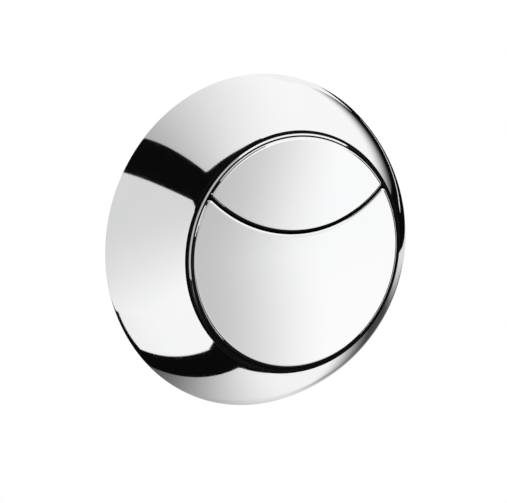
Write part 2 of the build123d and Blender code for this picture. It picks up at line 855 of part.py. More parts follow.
upper = 1
lower = -1
nodes = {
    "wall_plate": make_wall_plate(),
    "plate_seal": make_plate_seal(),
    "mounting_plate": make_mounting_plate(),
    "bezel_ring": make_bezel_ring(),
    "carrier": make_carrier(),
    "carrier_pillars": make_carrier_pillars(),
    "carrier_screws": make_carrier_screws(),
    "small_button": make_button(upper),
    "large_button": make_button(lower),
    "small_hinge_pin": make_hinge_pin(upper),
    "large_hinge_pin": make_hinge_pin(lower),
    "small_push_cap": make_push_cap(upper),
    "large_push_cap": make_push_cap(lower),
    "small_push_rod": make_push_rod(upper),
    "large_push_rod": make_push_rod(lower),
    "small_return_spring": make_return_spring(upper),
    "large_return_spring": make_return_spring(lower),
    "small_pilot_stem": make_pilot_stem(upper),
    "large_pilot_stem": make_pilot_stem(lower),
    "small_pilot_seal": make_pilot_seal(upper),
    "large_pilot_seal": make_pilot_seal(lower),
    "valve_body": make_valve_body(),
    "body_screws": make_body_screws(),
    "bonnet": make_bonnet(),
    "bonnet_seal": make_bonnet_seal(),
    "piston": make_piston(),
    "piston_seal": make_piston_seal(),
    "piston_washer": make_piston_washer(),
    "piston_screw": make_piston_screw(),
    "piston_spring": make_piston_spring(),
    "seat_ring": make_seat_ring(),
    "stopcock_plug": make_stopcock_plug(),
    "stopcock_gland": make_stopcock_gland(),
    "stopcock_seal": make_stopcock_seal(),
    "inlet_strainer": make_inlet_strainer(),
    "outlet_washer": make_outlet_washer(),
    "outlet_nut": make_outlet_nut(),
    "breaker_body": make_breaker_body(),
    "breaker_sleeve": make_breaker_sleeve(),
}

os.makedirs("parts", exist_ok=True)
for name, shape in nodes.items():
    export_step(shape, f"parts/{name}.step")
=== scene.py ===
import bmesh
import bpy
import json
import math
from mathutils import Matrix, Vector


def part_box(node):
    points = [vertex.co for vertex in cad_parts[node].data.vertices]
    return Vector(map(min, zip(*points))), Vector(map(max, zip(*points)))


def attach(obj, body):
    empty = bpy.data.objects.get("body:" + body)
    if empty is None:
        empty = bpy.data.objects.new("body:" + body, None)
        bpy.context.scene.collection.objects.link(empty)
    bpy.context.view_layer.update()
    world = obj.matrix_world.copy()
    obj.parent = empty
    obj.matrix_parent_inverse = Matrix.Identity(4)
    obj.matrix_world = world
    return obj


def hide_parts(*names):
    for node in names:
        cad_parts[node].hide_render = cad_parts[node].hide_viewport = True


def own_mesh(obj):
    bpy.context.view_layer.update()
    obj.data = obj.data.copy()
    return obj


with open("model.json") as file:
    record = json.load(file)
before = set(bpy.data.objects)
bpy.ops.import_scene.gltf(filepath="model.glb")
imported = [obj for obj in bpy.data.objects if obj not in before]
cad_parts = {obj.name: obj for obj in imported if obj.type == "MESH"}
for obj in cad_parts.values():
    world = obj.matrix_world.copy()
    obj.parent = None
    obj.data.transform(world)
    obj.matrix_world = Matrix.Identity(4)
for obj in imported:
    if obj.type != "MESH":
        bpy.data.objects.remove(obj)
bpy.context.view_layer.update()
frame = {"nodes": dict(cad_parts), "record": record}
mm = 0.001


# small helpers
def startFresh():
    if bpy.context.mode != "OBJECT":
        bpy.ops.object.mode_set(mode="OBJECT")
    bpy.ops.object.select_all(action="DESELECT")


def linkNodes(tree, *pairs):
    for source, target in pairs:
        tree.links.new(source, target)


mergeLimit = 0.002 * mm


def newPiece(name, place):  # a drawn piece starts as one point
    startFresh()
    bpy.ops.mesh.primitive_plane_add(size=mm)
    piece = bpy.context.object
    piece.name = name
    piece.data.name = name
    bpy.ops.object.mode_set(mode="EDIT")
    bpy.ops.mesh.select_mode(type="VERT")
    bpy.ops.mesh.select_all(action="SELECT")
    bpy.ops.mesh.merge(type="CENTER")
    bpy.ops.transform.translate(value=place)
    return piece


def newPoint(place):  # one more point in the piece that is being drawn
    bpy.ops.mesh.select_mode(type="VERT")
    bpy.ops.mesh.primitive_plane_add(size=mm)
    bpy.ops.mesh.merge(type="CENTER")
    bpy.ops.transform.translate(value=place)


def drawLines(*corners):  # straight from corner to corner, with the point on the first one
    for here, there in zip(corners, corners[1:]):
        move = Vector(there) - Vector(here)
        bpy.ops.mesh.extrude_vertices_move(TRANSFORM_OT_translate={"value": move})


def drawArc(centre, degrees, steps, axis):  # spin turns the other way, hence the minus
    bpy.ops.mesh.spin(steps=steps, angle=-math.radians(degrees), center=centre, axis=axis)


def closeSeams():
    bpy.ops.mesh.select_all(action="SELECT")
    bpy.ops.mesh.remove_doubles(threshold=mergeLimit)


def turnRound(steps):  # lathe: the drawn profile spun about Y
    closeSeams()
    bpy.ops.mesh.spin(steps=steps, angle=2 * math.pi, center=(0, 0, 0), axis=(0, 1, 0))
    closeSeams()
    bpy.ops.mesh.normals_make_consistent(inside=False)


def pick(piece, kind, test):  # select points, edges or faces by their place
    bpy.ops.mesh.select_mode(type=kind)
    bpy.ops.mesh.select_all(action="DESELECT")
    mesh = bmesh.from_edit_mesh(piece.data)
    for item in {"VERT": mesh.verts, "EDGE": mesh.edges, "FACE": mesh.faces}[kind]:
        if test(item):
            item.select_set(True)
    bmesh.update_edit_mesh(piece.data)


def smoothPiece(piece, sharpAngle=35):
    bpy.ops.object.mode_set(mode="OBJECT")
    bpy.ops.object.shade_smooth_by_angle(angle=math.radians(sharpAngle))
    weigh = piece.modifiers.new("weigh", "WEIGHTED_NORMAL")
    weigh.keep_sharp = True
    bpy.ops.object.modifier_apply(modifier=weigh.name)


def shadeFaces(piece, slot, test):  # another finish on some faces
    piece.data.materials.append(materials[slot])
    for face in piece.data.polygons:
        if test(face):
            face.material_index = len(piece.data.materials) - 1


def mountPiece(piece, body, slot, *nodes):
    piece.data.materials.clear()
    piece.data.materials.append(materials[slot])
    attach(piece, body)
    if nodes:
        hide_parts(*nodes)


# shared surface effects
def makeSmudgeGroup():
    group = bpy.data.node_groups.new("smudge", "ShaderNodeTree")
    sockets = group.interface
    sockets.new_socket("Scale", in_out="INPUT", socket_type="NodeSocketFloat").default_value = 20.0
    sockets.new_socket("Low", in_out="INPUT", socket_type="NodeSocketFloat").default_value = 0.0
    sockets.new_socket("High", in_out="INPUT", socket_type="NodeSocketFloat").default_value = 1.0
    sockets.new_socket("Value", in_out="OUTPUT", socket_type="NodeSocketFloat")
    nodes = group.nodes
    inputs = nodes.new("NodeGroupInput")
    outputs = nodes.new("NodeGroupOutput")
    place = nodes.new("ShaderNodeTexCoord")
    noise = nodes.new("ShaderNodeTexNoise")
    noise.inputs["Detail"].default_value = 5.0
    noise.inputs["Roughness"].default_value = 0.55
    spread = nodes.new("ShaderNodeMapRange")
    spread.inputs["From Min"].default_value = 0.3
    spread.inputs["From Max"].default_value = 0.7
    linkNodes(
        group,
        (place.outputs["Object"], noise.inputs["Vector"]),
        (inputs.outputs["Scale"], noise.inputs["Scale"]),
        (noise.outputs["Fac"], spread.inputs["Value"]),
        (inputs.outputs["Low"], spread.inputs["To Min"]),
        (inputs.outputs["High"], spread.inputs["To Max"]),
        (spread.outputs["Result"], outputs.inputs["Value"]),
    )
    return group


def makeGrainGroup():
    group = bpy.data.node_groups.new("grain", "ShaderNodeTree")
    sockets = group.interface
    sockets.new_socket("Scale", in_out="INPUT", socket_type="NodeSocketFloat").default_value = 600.0
    sockets.new_socket("Stretch", in_out="INPUT", socket_type="NodeSocketVector").default_value = (1, 1, 1)
    sockets.new_socket("Height", in_out="OUTPUT", socket_type="NodeSocketFloat")
    nodes = group.nodes
    inputs = nodes.new("NodeGroupInput")
    outputs = nodes.new("NodeGroupOutput")
    place = nodes.new("ShaderNodeTexCoord")
    stretch = nodes.new("ShaderNodeVectorMath")
    stretch.operation = "MULTIPLY"
    noise = nodes.new("ShaderNodeTexNoise")
    noise.inputs["Detail"].default_value = 3.0
    linkNodes(
        group,
        (place.outputs["Object"], stretch.inputs[0]),
        (inputs.outputs["Stretch"], stretch.inputs[1]),
        (stretch.outputs["Vector"], noise.inputs["Vector"]),
        (inputs.outputs["Scale"], noise.inputs["Scale"]),
        (noise.outputs["Fac"], outputs.inputs["Height"]),
    )
    return group


smudgeGroup = makeSmudgeGroup()
grainGroup = makeGrainGroup()


def placeGroup(tree, group, **values):
    node = tree.nodes.new("ShaderNodeGroup")
    node.node_tree = group
    for name, value in values.items():
        node.inputs[name.capitalize()].default_value = value
    return node


def makeFinish(name, look):
    material = bpy.data.materials.new(name)
    material.use_nodes = True
    tree = material.node_tree
    shader = tree.nodes["Principled BSDF"]
    shader.inputs["Metallic"].default_value = look.get("metallic", 0.0)
    for socket, value in look.get("fixed", {}).items():
        shader.inputs[socket].default_value = value
    tone = placeGroup(tree, smudgeGroup, scale=look["toneScale"], low=0.0, high=1.0)  # soft change of colour
    mix = tree.nodes.new("ShaderNodeMix")
    mix.data_type = "RGBA"
    mix.inputs[6].default_value = (*look["colour"], 1)  # 6 and 7 are the colour sockets of a Mix node
    mix.inputs[7].default_value = (*look["secondColour"], 1)
    smoothest, roughest = look["rough"]
    rough = placeGroup(tree, smudgeGroup, scale=look["roughScale"], low=smoothest, high=roughest)
    linkNodes(
        tree,
        (tone.outputs["Value"], mix.inputs[0]),
        (mix.outputs[2], shader.inputs["Base Color"]),
        (rough.outputs["Value"], shader.inputs["Roughness"]),
    )
    if "grain" in look:
        grain = look["grain"]
        ripple = placeGroup(tree, grainGroup, scale=grain["scale"], stretch=grain.get("stretch", (1, 1, 1)))
        bump = tree.nodes.new("ShaderNodeBump")
        bump.inputs["Strength"].default_value = grain["strength"]
        bump.inputs["Distance"].default_value = grain["depth"]
        linkNodes(
            tree,
            (ripple.outputs["Height"], bump.inputs["Height"]),
            (bump.outputs["Normal"], shader.inputs["Normal"]),
        )
    return material


# each finish drifts between two colours and two roughnesses, and may have a grain
finishes = {
    "chrome": {
        "metallic": 1.0,
        "colour": (0.93, 0.93, 0.935), "secondColour": (0.90, 0.905, 0.915), "toneScale": 14.0,
        "rough": (0.035, 0.06), "roughScale": 40.0,
    },
    "brass": {
        "metallic": 1.0,
        "colour": (0.72, 0.52, 0.25), "secondColour": (0.60, 0.42, 0.20), "toneScale": 45.0,
        "rough": (0.28, 0.46), "roughScale": 90.0,
        "grain": {"scale": 900.0, "strength": 0.25, "depth": 0.0003},
    },
    "zinc_steel": {
        "metallic": 1.0,
        "colour": (0.63, 0.64, 0.65), "secondColour": (0.52, 0.53, 0.55), "toneScale": 160.0,
        "rough": (0.28, 0.48), "roughScale": 120.0,
        "grain": {"scale": 500.0, "strength": 0.1, "depth": 0.0002},
    },
    "stainless": {
        "metallic": 1.0,
        "colour": (0.66, 0.66, 0.65), "secondColour": (0.58, 0.58, 0.575), "toneScale": 120.0,
        "rough": (0.18, 0.3), "roughScale": 200.0,
        "grain": {"scale": 300.0, "stretch": (1, 8, 8), "strength": 0.08, "depth": 0.0001},
    },
    "black_plastic": {
        "colour": (0.008, 0.008, 0.009), "secondColour": (0.013, 0.013, 0.014), "toneScale": 60.0,
        "rough": (0.45, 0.6), "roughScale": 150.0, "fixed": {"Specular IOR Level": 0.12},
        "grain": {"scale": 1800.0, "strength": 0.2, "depth": 0.0001},
    },
    "pale_plastic": {
        "colour": (0.78, 0.78, 0.75), "secondColour": (0.72, 0.72, 0.69), "toneScale": 80.0,
        "rough": (0.3, 0.45), "roughScale": 150.0,
        "grain": {"scale": 1800.0, "strength": 0.1, "depth": 0.0001},
    },
    "painted_shade_black": {  # near-black painted shade on the walls inside the opening and round the buttons
        "colour": (0.010, 0.010, 0.010), "secondColour": (0.016, 0.016, 0.016), "toneScale": 90.0,
        "rough": (0.55, 0.75), "roughScale": 150.0, "fixed": {"Specular IOR Level": 0.0},
        "grain": {"scale": 1200.0, "strength": 0.2, "depth": 0.0001},
    },
    "black_rubber": {
        "colour": (0.022, 0.022, 0.023), "secondColour": (0.034, 0.034, 0.035), "toneScale": 110.0,
        "rough": (0.6, 0.8), "roughScale": 200.0,
        "grain": {"scale": 2200.0, "strength": 0.3, "depth": 0.0001},
    },
}
materials = {name: makeFinish(name, look) for name, look in finishes.items()}
print("finishes made:", len(materials))

for part in frame["record"]["subparts"]:
    node = frame["nodes"][part["node"]]
    node.data.materials.clear()
    node.data.materials.append(materials[part["material_slot"]])

# wall plate, turned from its section
plate = {
    "radius": 97.5 * mm, "height": 45.93 * mm, "wall": 2.0 * mm, "rimRound": 0.6 * mm,
    "opening": 69.1 * mm, "openingRound": 0.3 * mm,
    "collarWall": 2.3 * mm, "collarDepth": 18.93 * mm, "flangeWidth": 6.1 * mm,
    "turnSteps": 320, "domeSteps": 80, "innerSteps": 24, "roundSteps": 6,
    "shadeRounds": 1.8,  # the painted shade inside ends this many lip roundings from the opening
}
across = (0, 0, 1)  # axis of the arcs in a section


def makePlate():
    lowered = plate["radius"] ** 2 - plate["opening"] ** 2 - plate["height"] ** 2
    domeCentre = lowered / (2 * plate["height"])
    domeRadius = math.hypot(plate["radius"], domeCentre)
    inner = domeRadius - plate["wall"]
    rim = plate["rimRound"]
    lip = plate["openingRound"]
    middle = Vector((0, domeCentre, 0))
    rimDrop = domeCentre + rim
    rimCentre = Vector((math.sqrt((domeRadius - rim) ** 2 - rimDrop ** 2), -rim, 0))
    rimAngle = math.degrees(math.atan2(rimCentre.x, rimDrop))
    lipRadius = plate["opening"] + lip
    lipRise = math.sqrt((domeRadius - lip) ** 2 - lipRadius ** 2)
    lipCentre = Vector((lipRadius, domeCentre - lipRise, 0))
    lipAngle = math.degrees(math.atan2(lipRadius, lipRise))
    collarBack = plate["collarDepth"] - plate["height"]
    flangeFront = collarBack - plate["collarWall"]
    flange = plate["opening"] - plate["flangeWidth"]
    collar = plate["opening"] + plate["collarWall"]
    collarRise = math.sqrt(inner ** 2 - collar ** 2)
    innerRim = math.sqrt(inner ** 2 - domeCentre ** 2)
    collarAngle = math.degrees(math.atan2(collar, collarRise))
    innerRimAngle = math.degrees(math.atan2(innerRim, domeCentre))
    start = Vector((rimCentre.x, 0, 0))
    piece = newPiece("wallPlate", start)
    drawArc(rimCentre, rimAngle - 180, plate["roundSteps"], across)
    drawArc(middle, lipAngle - rimAngle, plate["domeSteps"], across)
    drawArc(lipCentre, -90 - lipAngle, plate["roundSteps"], across)
    drawLines(
        (plate["opening"], lipCentre.y, 0),
        (plate["opening"], flangeFront, 0),
        (flange, flangeFront, 0),
        (flange, collarBack, 0),
        (collar, collarBack, 0),
        (collar, domeCentre - collarRise, 0),
    )
    drawArc(middle, innerRimAngle - collarAngle, plate["innerSteps"], across)
    drawLines((innerRim, 0, 0), start)
    turnRound(plate["turnSteps"])
    smoothPiece(piece)
    mountPiece(piece, "base", "chrome", "wall_plate")
    # painted shade: the chrome collar wall and lip rounding get the near-black finish, for the shade inside
    # the opening
    inside = plate["opening"] + plate["openingRound"] * plate["shadeRounds"]
    shadeFaces(piece, "painted_shade_black", lambda face: math.hypot(face.center.x, face.center.z) < inside)


makePlate()
print("wall plate turned")

# bright ring between plate and buttons
ring = {
    "radius": 68.1 * mm, "width": 1.3 * mm, "front": -47.3 * mm, "slope": 0.47 * mm, "depth": 3.0 * mm,
    "round": 0.2 * mm, "tongueWall": 0.65 * mm, "tongueLength": 1.85 * mm,
    "turnSteps": 320, "roundSteps": 5,
    "chromeTo": -0.9, "chromeFrom": 0.28,  # parts of a chrome face's normal: along Y, outwards; the other faces get black painted shade
}


def isRingShade(face):  # all but the tilted front gets black plastic as painted shade for the gap
    reach = math.hypot(face.center.x, face.center.z)
    outward = (face.normal.x * face.center.x + face.normal.z * face.center.z) / reach
    return face.normal.y > ring["chromeTo"] or outward < ring["chromeFrom"]


def makeRing():
    inner = ring["radius"] - ring["width"]
    back = ring["front"] + ring["depth"]
    rebate = inner + ring["tongueWall"]
    rebateFront = back - ring["tongueLength"]
    start = Vector((inner, ring["front"], 0))
    piece = newPiece("brightRing", start)
    drawLines(
        start,
        (ring["radius"], ring["front"] + ring["slope"], 0),
        (ring["radius"], back, 0),
        (rebate, back, 0),
        (rebate, rebateFront, 0),
        (inner, rebateFront, 0),
        start,
    )
    closeSeams()
    frontEnd = ring["front"] + ring["slope"] + mergeLimit
    pick(piece, "VERT", lambda point: point.co.y < frontEnd)  # two front corners
    bpy.ops.mesh.bevel(affect="VERTICES", offset=ring["round"], segments=ring["roundSteps"])
    turnRound(ring["turnSteps"])
    smoothPiece(piece)
    mountPiece(piece, "base", "chrome", "bezel_ring")
    # painted shade: the ring's sides get black plastic, for the shade in the gap round it
    shadeFaces(piece, "black_plastic", isRingShade)


makeRing()
print("bright ring turned")

# buttons: one crowned disc parted by an arc
buttons = {
    "radius": 66.3 * mm, "edge": -48.9 * mm, "back": -40.0 * mm, "crown": 2.4 * mm,
    "wall": 2.2 * mm, "roofWall": 2.4 * mm, "edgeRound": 2.3 * mm, "edgeShape": 0.63, "cornerRound": 2.4 * mm,
    "splitLow": 12.2 * mm, "splitRadius": 78.0 * mm, "splitGap": 0.9 * mm,
    "splitSteps": 110, "cornerSteps": 10, "smallSteps": 120, "largeSteps": 220, "roundSteps": 12,
    "gridStep": 6 * mm,
    "brightTo": -0.82, "upBrightTo": -0.2,  # Y of the normal where an edge turns from chrome to painted shade, and of one facing up
    "upFrom": 0.2,  # Z of the normal from which an edge counts as facing up
    "hingeHeight": 55 * mm, "hingeDepth": -43 * mm, "earRadius": 3.4 * mm, "pinHole": 1.55 * mm,
    "earInner": 9.5 * mm, "earWall": 5 * mm, "earSteps": 32,
    "ribWall": 2 * mm, "ribBack": -42.9 * mm, "ribLow": 11.2 * mm, "ribHigh": 15.2 * mm,
    "ribRound": 2 * mm / 5,
    "bossHeight": 17 * mm, "bossRadius": 4.1 * mm, "bossBack": -39.4 * mm, "bossRound": 4.1 * mm / 6,
}
facing = (0, -1, 0)  # turns in the front view run about this axis


def drawOutline(side, inset, depth, startAt):  # side is 1 above the parting arc and -1 below it
    corner = buttons["cornerRound"]
    margin = buttons["splitGap"] / 2 + inset
    arch = Vector((0, depth, buttons["splitLow"] + buttons["splitRadius"]))
    archRadius = buttons["splitRadius"] - side * margin
    outer = buttons["radius"] - inset - corner
    reach = archRadius - side * corner
    tipHeight = (outer ** 2 - reach ** 2 + arch.z ** 2) / (2 * arch.z)
    tip = Vector((math.sqrt(outer ** 2 - tipHeight ** 2), depth, tipHeight))
    fromArch = (tip - arch).normalized()
    onSplit = arch + fromArch * archRadius
    toDisc = Vector((tip.x, 0, tip.z)).normalized()
    fromSplit = fromArch * side
    crossing = fromSplit.x * toDisc.z - fromSplit.z * toDisc.x
    tipTurn = math.degrees(math.atan2(crossing, fromSplit.dot(toDisc)))
    splitTurn = 2 * math.degrees(math.atan2(onSplit.x, arch.z - onSplit.z))
    discTurn = side * 180 - 2 * math.degrees(math.atan2(tip.z, tip.x))
    discSteps = buttons["smallSteps"] if side > 0 else buttons["largeSteps"]
    drawn = startAt(Vector((-onSplit.x, depth, onSplit.z)))
    drawArc(arch, splitTurn, buttons["splitSteps"], facing)
    drawArc(tip, tipTurn, buttons["cornerSteps"], facing)
    drawArc((0, depth, 0), discTurn, discSteps, facing)
    drawArc((-tip.x, depth, tip.z), tipTurn, buttons["cornerSteps"], facing)
    return drawn


def at(depth):  # test for what lies wholly at one depth
    return lambda item: all(abs(point.co.y - depth) < mergeLimit for point in item.verts)


def gridFace(piece, depth):  # cuts a flat face into a grid, so that it can be crowned
    count = int(buttons["radius"] / buttons["gridStep"])
    for index in range(-count, count + 1):
        for normal in ((1, 0, 0), (0, 0, 1)):
            pick(piece, "FACE", at(depth))
            bpy.ops.mesh.bisect(plane_co=Vector(normal) * index * buttons["gridStep"], plane_no=normal)


def crownRise(point):
    crownRadius = (buttons["radius"] ** 2 + buttons["crown"] ** 2) / (2 * buttons["crown"])
    away = point.x ** 2 + point.z ** 2
    return buttons["crown"] - crownRadius + math.sqrt(crownRadius ** 2 - away)


def makeEar(side, hand):
    middle = Vector((hand * buttons["earInner"], buttons["hingeDepth"], side * buttons["hingeHeight"]))
    ear = newPiece("ear", middle)
    bpy.ops.transform.translate(value=(0, buttons["pinHole"], 0))
    bpy.ops.mesh.spin(steps=buttons["earSteps"], angle=2 * math.pi, center=middle, axis=(1, 0, 0))
    newPoint(middle + Vector((0, buttons["earRadius"], 0)))
    bpy.ops.mesh.spin(steps=buttons["earSteps"], angle=2 * math.pi, center=middle, axis=(1, 0, 0))
    closeSeams()
    bpy.ops.mesh.bridge_edge_loops()
    bpy.ops.mesh.select_all(action="SELECT")
    bpy.ops.mesh.extrude_region_move(TRANSFORM_OT_translate={"value": (hand * buttons["earWall"], 0, 0)})
    bpy.ops.mesh.select_all(action="SELECT")
    bpy.ops.mesh.normals_make_consistent(inside=False)
    outside = buttons["earRadius"] * 0.97  # a little less, as the ear is many-sided

    def isFrontSkin(face):
        away = (face.calc_center_median() - middle).yz.length
        return face.normal.y < -0.1 and away > outside

    pick(ear, "FACE", isFrontSkin)  # drawn forward to the button's roof
    bpy.ops.mesh.extrude_region_move()
    roof = buttons["edge"] + buttons["roofWall"]
    bpy.ops.transform.resize(value=(1, 0, 1), center_override=(0, roof, 0))
    bpy.ops.object.mode_set(mode="OBJECT")
    return ear


def makeRib(side, hand):
    if side > 0:
        low, high = buttons["ribHigh"], buttons["hingeHeight"]
    else:
        low, high = -buttons["hingeHeight"], buttons["ribLow"]
    front = buttons["edge"] + buttons["roofWall"]
    startFresh()
    bpy.ops.mesh.primitive_cube_add(size=1)
    rib = bpy.context.object
    bpy.ops.object.mode_set(mode="EDIT")
    bpy.ops.mesh.select_all(action="SELECT")
    bpy.ops.transform.resize(value=(buttons["ribWall"], buttons["ribBack"] - front, high - low))
    away = hand * (buttons["earInner"] + buttons["earWall"] / 2)
    bpy.ops.transform.translate(value=(away, (front + buttons["ribBack"]) / 2, (low + high) / 2))
    pick(rib, "EDGE", at(buttons["ribBack"]))
    bpy.ops.mesh.bevel(offset=buttons["ribRound"], segments=2, affect="EDGES")
    bpy.ops.object.mode_set(mode="OBJECT")
    return rib


def makeBoss(side):
    front = buttons["edge"] + buttons["roofWall"]
    boss = newPiece("boss", (buttons["bossRadius"], front, 0))
    drawLines(
        (buttons["bossRadius"], front, 0),
        (buttons["bossRadius"], buttons["bossBack"], 0),
        (0, buttons["bossBack"], 0),
    )
    end = buttons["bossBack"] - mergeLimit
    pick(boss, "VERT", lambda point: point.co.x > mergeLimit and point.co.y > end)
    bpy.ops.mesh.bevel(affect="VERTICES", offset=buttons["bossRound"], segments=3)
    turnRound(buttons["earSteps"])
    bpy.ops.transform.translate(value=(0, 0, side * buttons["bossHeight"]))
    bpy.ops.object.mode_set(mode="OBJECT")
    return boss


def isPaintedShade(face):  # walls, and the steep part of the edges that don't face up, get painted shade
    limit = buttons["brightTo"] if face.normal.z < buttons["upFrom"] else buttons["upBrightTo"]
    return face.normal.y > limit


def makeButton(name, side, body, node):
    edge = buttons["edge"]
    back = buttons["back"]
    roof = edge + buttons["roofWall"]
    piece = drawOutline(side, 0, edge, lambda place: newPiece(name, place))
    closeSeams()
    bpy.ops.mesh.extrude_edges_move(TRANSFORM_OT_translate={"value": (0, back - edge, 0)})
    pick(piece, "EDGE", at(edge))
    bpy.ops.mesh.edge_face_add()
    pick(piece, "EDGE", at(edge))
    bpy.ops.mesh.bevel(
        offset=buttons["edgeRound"], segments=buttons["roundSteps"], profile=buttons["edgeShape"],
        affect="EDGES", clamp_overlap=False,
    )
    drawOutline(side, buttons["wall"], back, newPoint)

    def isOpen(item):
        return at(back)(item) and len(item.link_faces) < 2

    pick(piece, "EDGE", isOpen)
    bpy.ops.mesh.remove_doubles(threshold=mergeLimit)
    pick(piece, "EDGE", isOpen)
    bpy.ops.mesh.bridge_edge_loops()
    pick(piece, "EDGE", isOpen)
    bpy.ops.mesh.extrude_edges_move(TRANSFORM_OT_translate={"value": (0, roof - back, 0)})
    pick(piece, "EDGE", at(roof))
    bpy.ops.mesh.edge_face_add()
    gridFace(piece, edge)
    gridFace(piece, roof)
    bpy.ops.mesh.select_all(action="SELECT")
    bpy.ops.mesh.normals_make_consistent(inside=False)
    bpy.ops.object.mode_set(mode="OBJECT")
    for point in piece.data.vertices:  # crowns the front and the roof inside
        if point.co.y < roof + mergeLimit:
            point.co.y -= crownRise(point.co)
    fittings = [makeBoss(side)]
    for hand in (-1, 1):
        fittings += [makeEar(side, hand), makeRib(side, hand)]
    startFresh()
    for item in (*fittings, piece):
        item.select_set(True)
    bpy.context.view_layer.objects.active = piece
    bpy.ops.object.join()
    smoothPiece(piece)
    mountPiece(piece, body, "chrome", node)
    # painted shade: the chrome button walls and steep edge roundings get the near-black finish, for the shade
    # in the gaps
    shadeFaces(piece, "painted_shade_black", isPaintedShade)


makeButton("smallButton", 1, "half_flush", "small_button")
makeButton("largeButton", -1, "full_flush", "large_button")
print("buttons shaped")

# coil springs
springs = {
    "smallSpring": {"node": "small_return_spring", "wire": 0.4 * mm, "turns": 4,
                    "joint": "half_flush_press", "fixedEnd": "back", "travel": 2.98 * mm},
    "largeSpring": {"node": "large_return_spring", "wire": 0.4 * mm, "turns": 4,
                    "joint": "full_flush_press", "fixedEnd": "back", "travel": 2.98 * mm},
    "pistonSpring": {"node": "piston_spring", "wire": 0.6 * mm, "turns": 5,
                     "joint": "piston_lift", "fixedEnd": "front", "travel": 8 * mm},
}
coilSteps = 48
wireSteps = 12
wireSharp = 60  # degrees past which an edge stays sharp


def makeSpring(name, spring):
    low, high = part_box(spring["node"])
    wire = spring["wire"]
    meanRadius = (high.x - low.x) / 2 - wire
    length = high.y - low.y
    piece = newPiece(name, (meanRadius + wire, 0, 0))
    drawArc((meanRadius, 0, 0), 360, wireSteps, across)
    closeSeams()
    bpy.ops.object.mode_set(mode="OBJECT")
    coil = piece.modifiers.new("coil", "SCREW")
    coil.axis = "Y"
    coil.screw_offset = (length - 2 * wire) / spring["turns"]
    coil.iterations = spring["turns"]
    coil.steps = coilSteps
    coil.render_steps = coilSteps
    bpy.ops.object.modifier_apply(modifier=coil.name)
    bpy.ops.object.mode_set(mode="EDIT")
    middle = (length - 2 * wire) / 2
    for atEnd in (lambda y: y < middle, lambda y: y > middle):  # wire ends
        pick(piece, "EDGE", lambda item: item.is_boundary and atEnd(item.verts[0].co.y))
        bpy.ops.mesh.edge_face_add()
    bpy.ops.mesh.select_all(action="SELECT")
    bpy.ops.mesh.normals_make_consistent(inside=False)
    bpy.ops.transform.translate(value=(0, low.y + wire, (low.z + high.z) / 2))
    smoothPiece(piece, wireSharp)
    mountPiece(piece, "base", "stainless", spring["node"])
    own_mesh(piece)


for name, spring in springs.items():
    makeSpring(name, spring)
print("springs wound")

# pipe thread on the inlet
thread = {
    "start": 72.6 * mm, "pitch": 1.814 * mm, "turns": 9, "root": 13.1 * mm, "crest": 13.6 * mm,
    "axisDepth": 37 * mm, "flat": 0.3 * mm, "steps": 72,
}


def makeThread():
    pitch = thread["pitch"]
    start = Vector((0, thread["root"], 0))
    piece = newPiece("inletThread", start)
    drawLines(
        start,
        ((pitch - thread["flat"]) / 2, thread["crest"], 0),
        ((pitch + thread["flat"]) / 2, thread["crest"], 0),
        (pitch, thread["root"], 0),
    )
    bpy.ops.object.mode_set(mode="OBJECT")
    wind = piece.modifiers.new("wind", "SCREW")
    wind.axis = "X"
    wind.screw_offset = pitch
    wind.iterations = thread["turns"]
    wind.steps = thread["steps"]
    wind.render_steps = thread["steps"]
    bpy.ops.object.modifier_apply(modifier=wind.name)
    length = pitch * (thread["turns"] + 1)
    for point in piece.data.vertices:  # the ridge runs out at both ends
        share = min(1, point.co.x / pitch, (length - point.co.x) / pitch)
        radius = math.hypot(point.co.y, point.co.z)
        scale = (thread["root"] + (radius - thread["root"]) * max(share, 0)) / radius
        point.co.y *= scale
        point.co.z *= scale
    bpy.ops.object.mode_set(mode="EDIT")
    closeSeams()
    bpy.ops.mesh.normals_make_consistent(inside=False)
    bpy.ops.transform.translate(value=(thread["start"], thread["axisDepth"], 0))
    smoothPiece(piece)
    mountPiece(piece, "base", "brass")


makeThread()
print("inlet thread cut")

# camera where the photograph was taken from
camera = {
    "azimuth": 28.78, "elevation": 8.57, "roll": 2.41, "turn": 2.0,
    "focalPixels": 2617.0, "imageWidth": 507.0, "distance": 1500 * mm,
    "aim": Vector((0, -25 * mm, 0)), "acrossOffset": -13.57 * mm, "upOffset": -2.52 * mm,
    "sensor": 36.0,
}


def addCamera():
    azimuth = math.radians(camera["azimuth"])
    elevation = math.radians(camera["elevation"])
    roll = math.radians(camera["roll"])
    level = math.cos(elevation)
    towards = Vector((-math.sin(azimuth) * level, -math.cos(azimuth) * level, math.sin(elevation)))
    right = Vector((math.cos(azimuth), -math.sin(azimuth), 0))
    up = towards.cross(right)
    turnedRight = right * math.cos(roll) + up * math.sin(roll)
    turnedUp = up * math.cos(roll) - right * math.sin(roll)
    target = camera["aim"] + turnedRight * camera["acrossOffset"] + turnedUp * camera["upOffset"]
    startFresh()
    bpy.ops.object.camera_add()
    eye = bpy.context.object
    eye.data.sensor_width = camera["sensor"]
    eye.data.lens = camera["focalPixels"] * camera["sensor"] / camera["imageWidth"]
    turn = Matrix((turnedRight, turnedUp, towards)).transposed()
    place = Matrix.Translation(target + towards * camera["distance"]) @ turn.to_4x4()
    eye.matrix_world = Matrix.Rotation(math.radians(camera["turn"]), 4, "Y") @ place
    bpy.context.scene.camera = eye


addCamera()
print("camera placed")

# studio: softboxes and dark cards that the chrome mirrors, all hidden from the camera
studio = {
    "reach": 3.0,  # half size of the mirrored room
    "turn": camera["turn"],
    "floorDrop": 1.1, "floorSize": 40.0, "floorColour": (0.86, 0.86, 0.86, 1), "floorRough": 0.8,
    "light": 0.85, "backdrop": 1.0,  # the world as it lights the part, and as it is seen
}


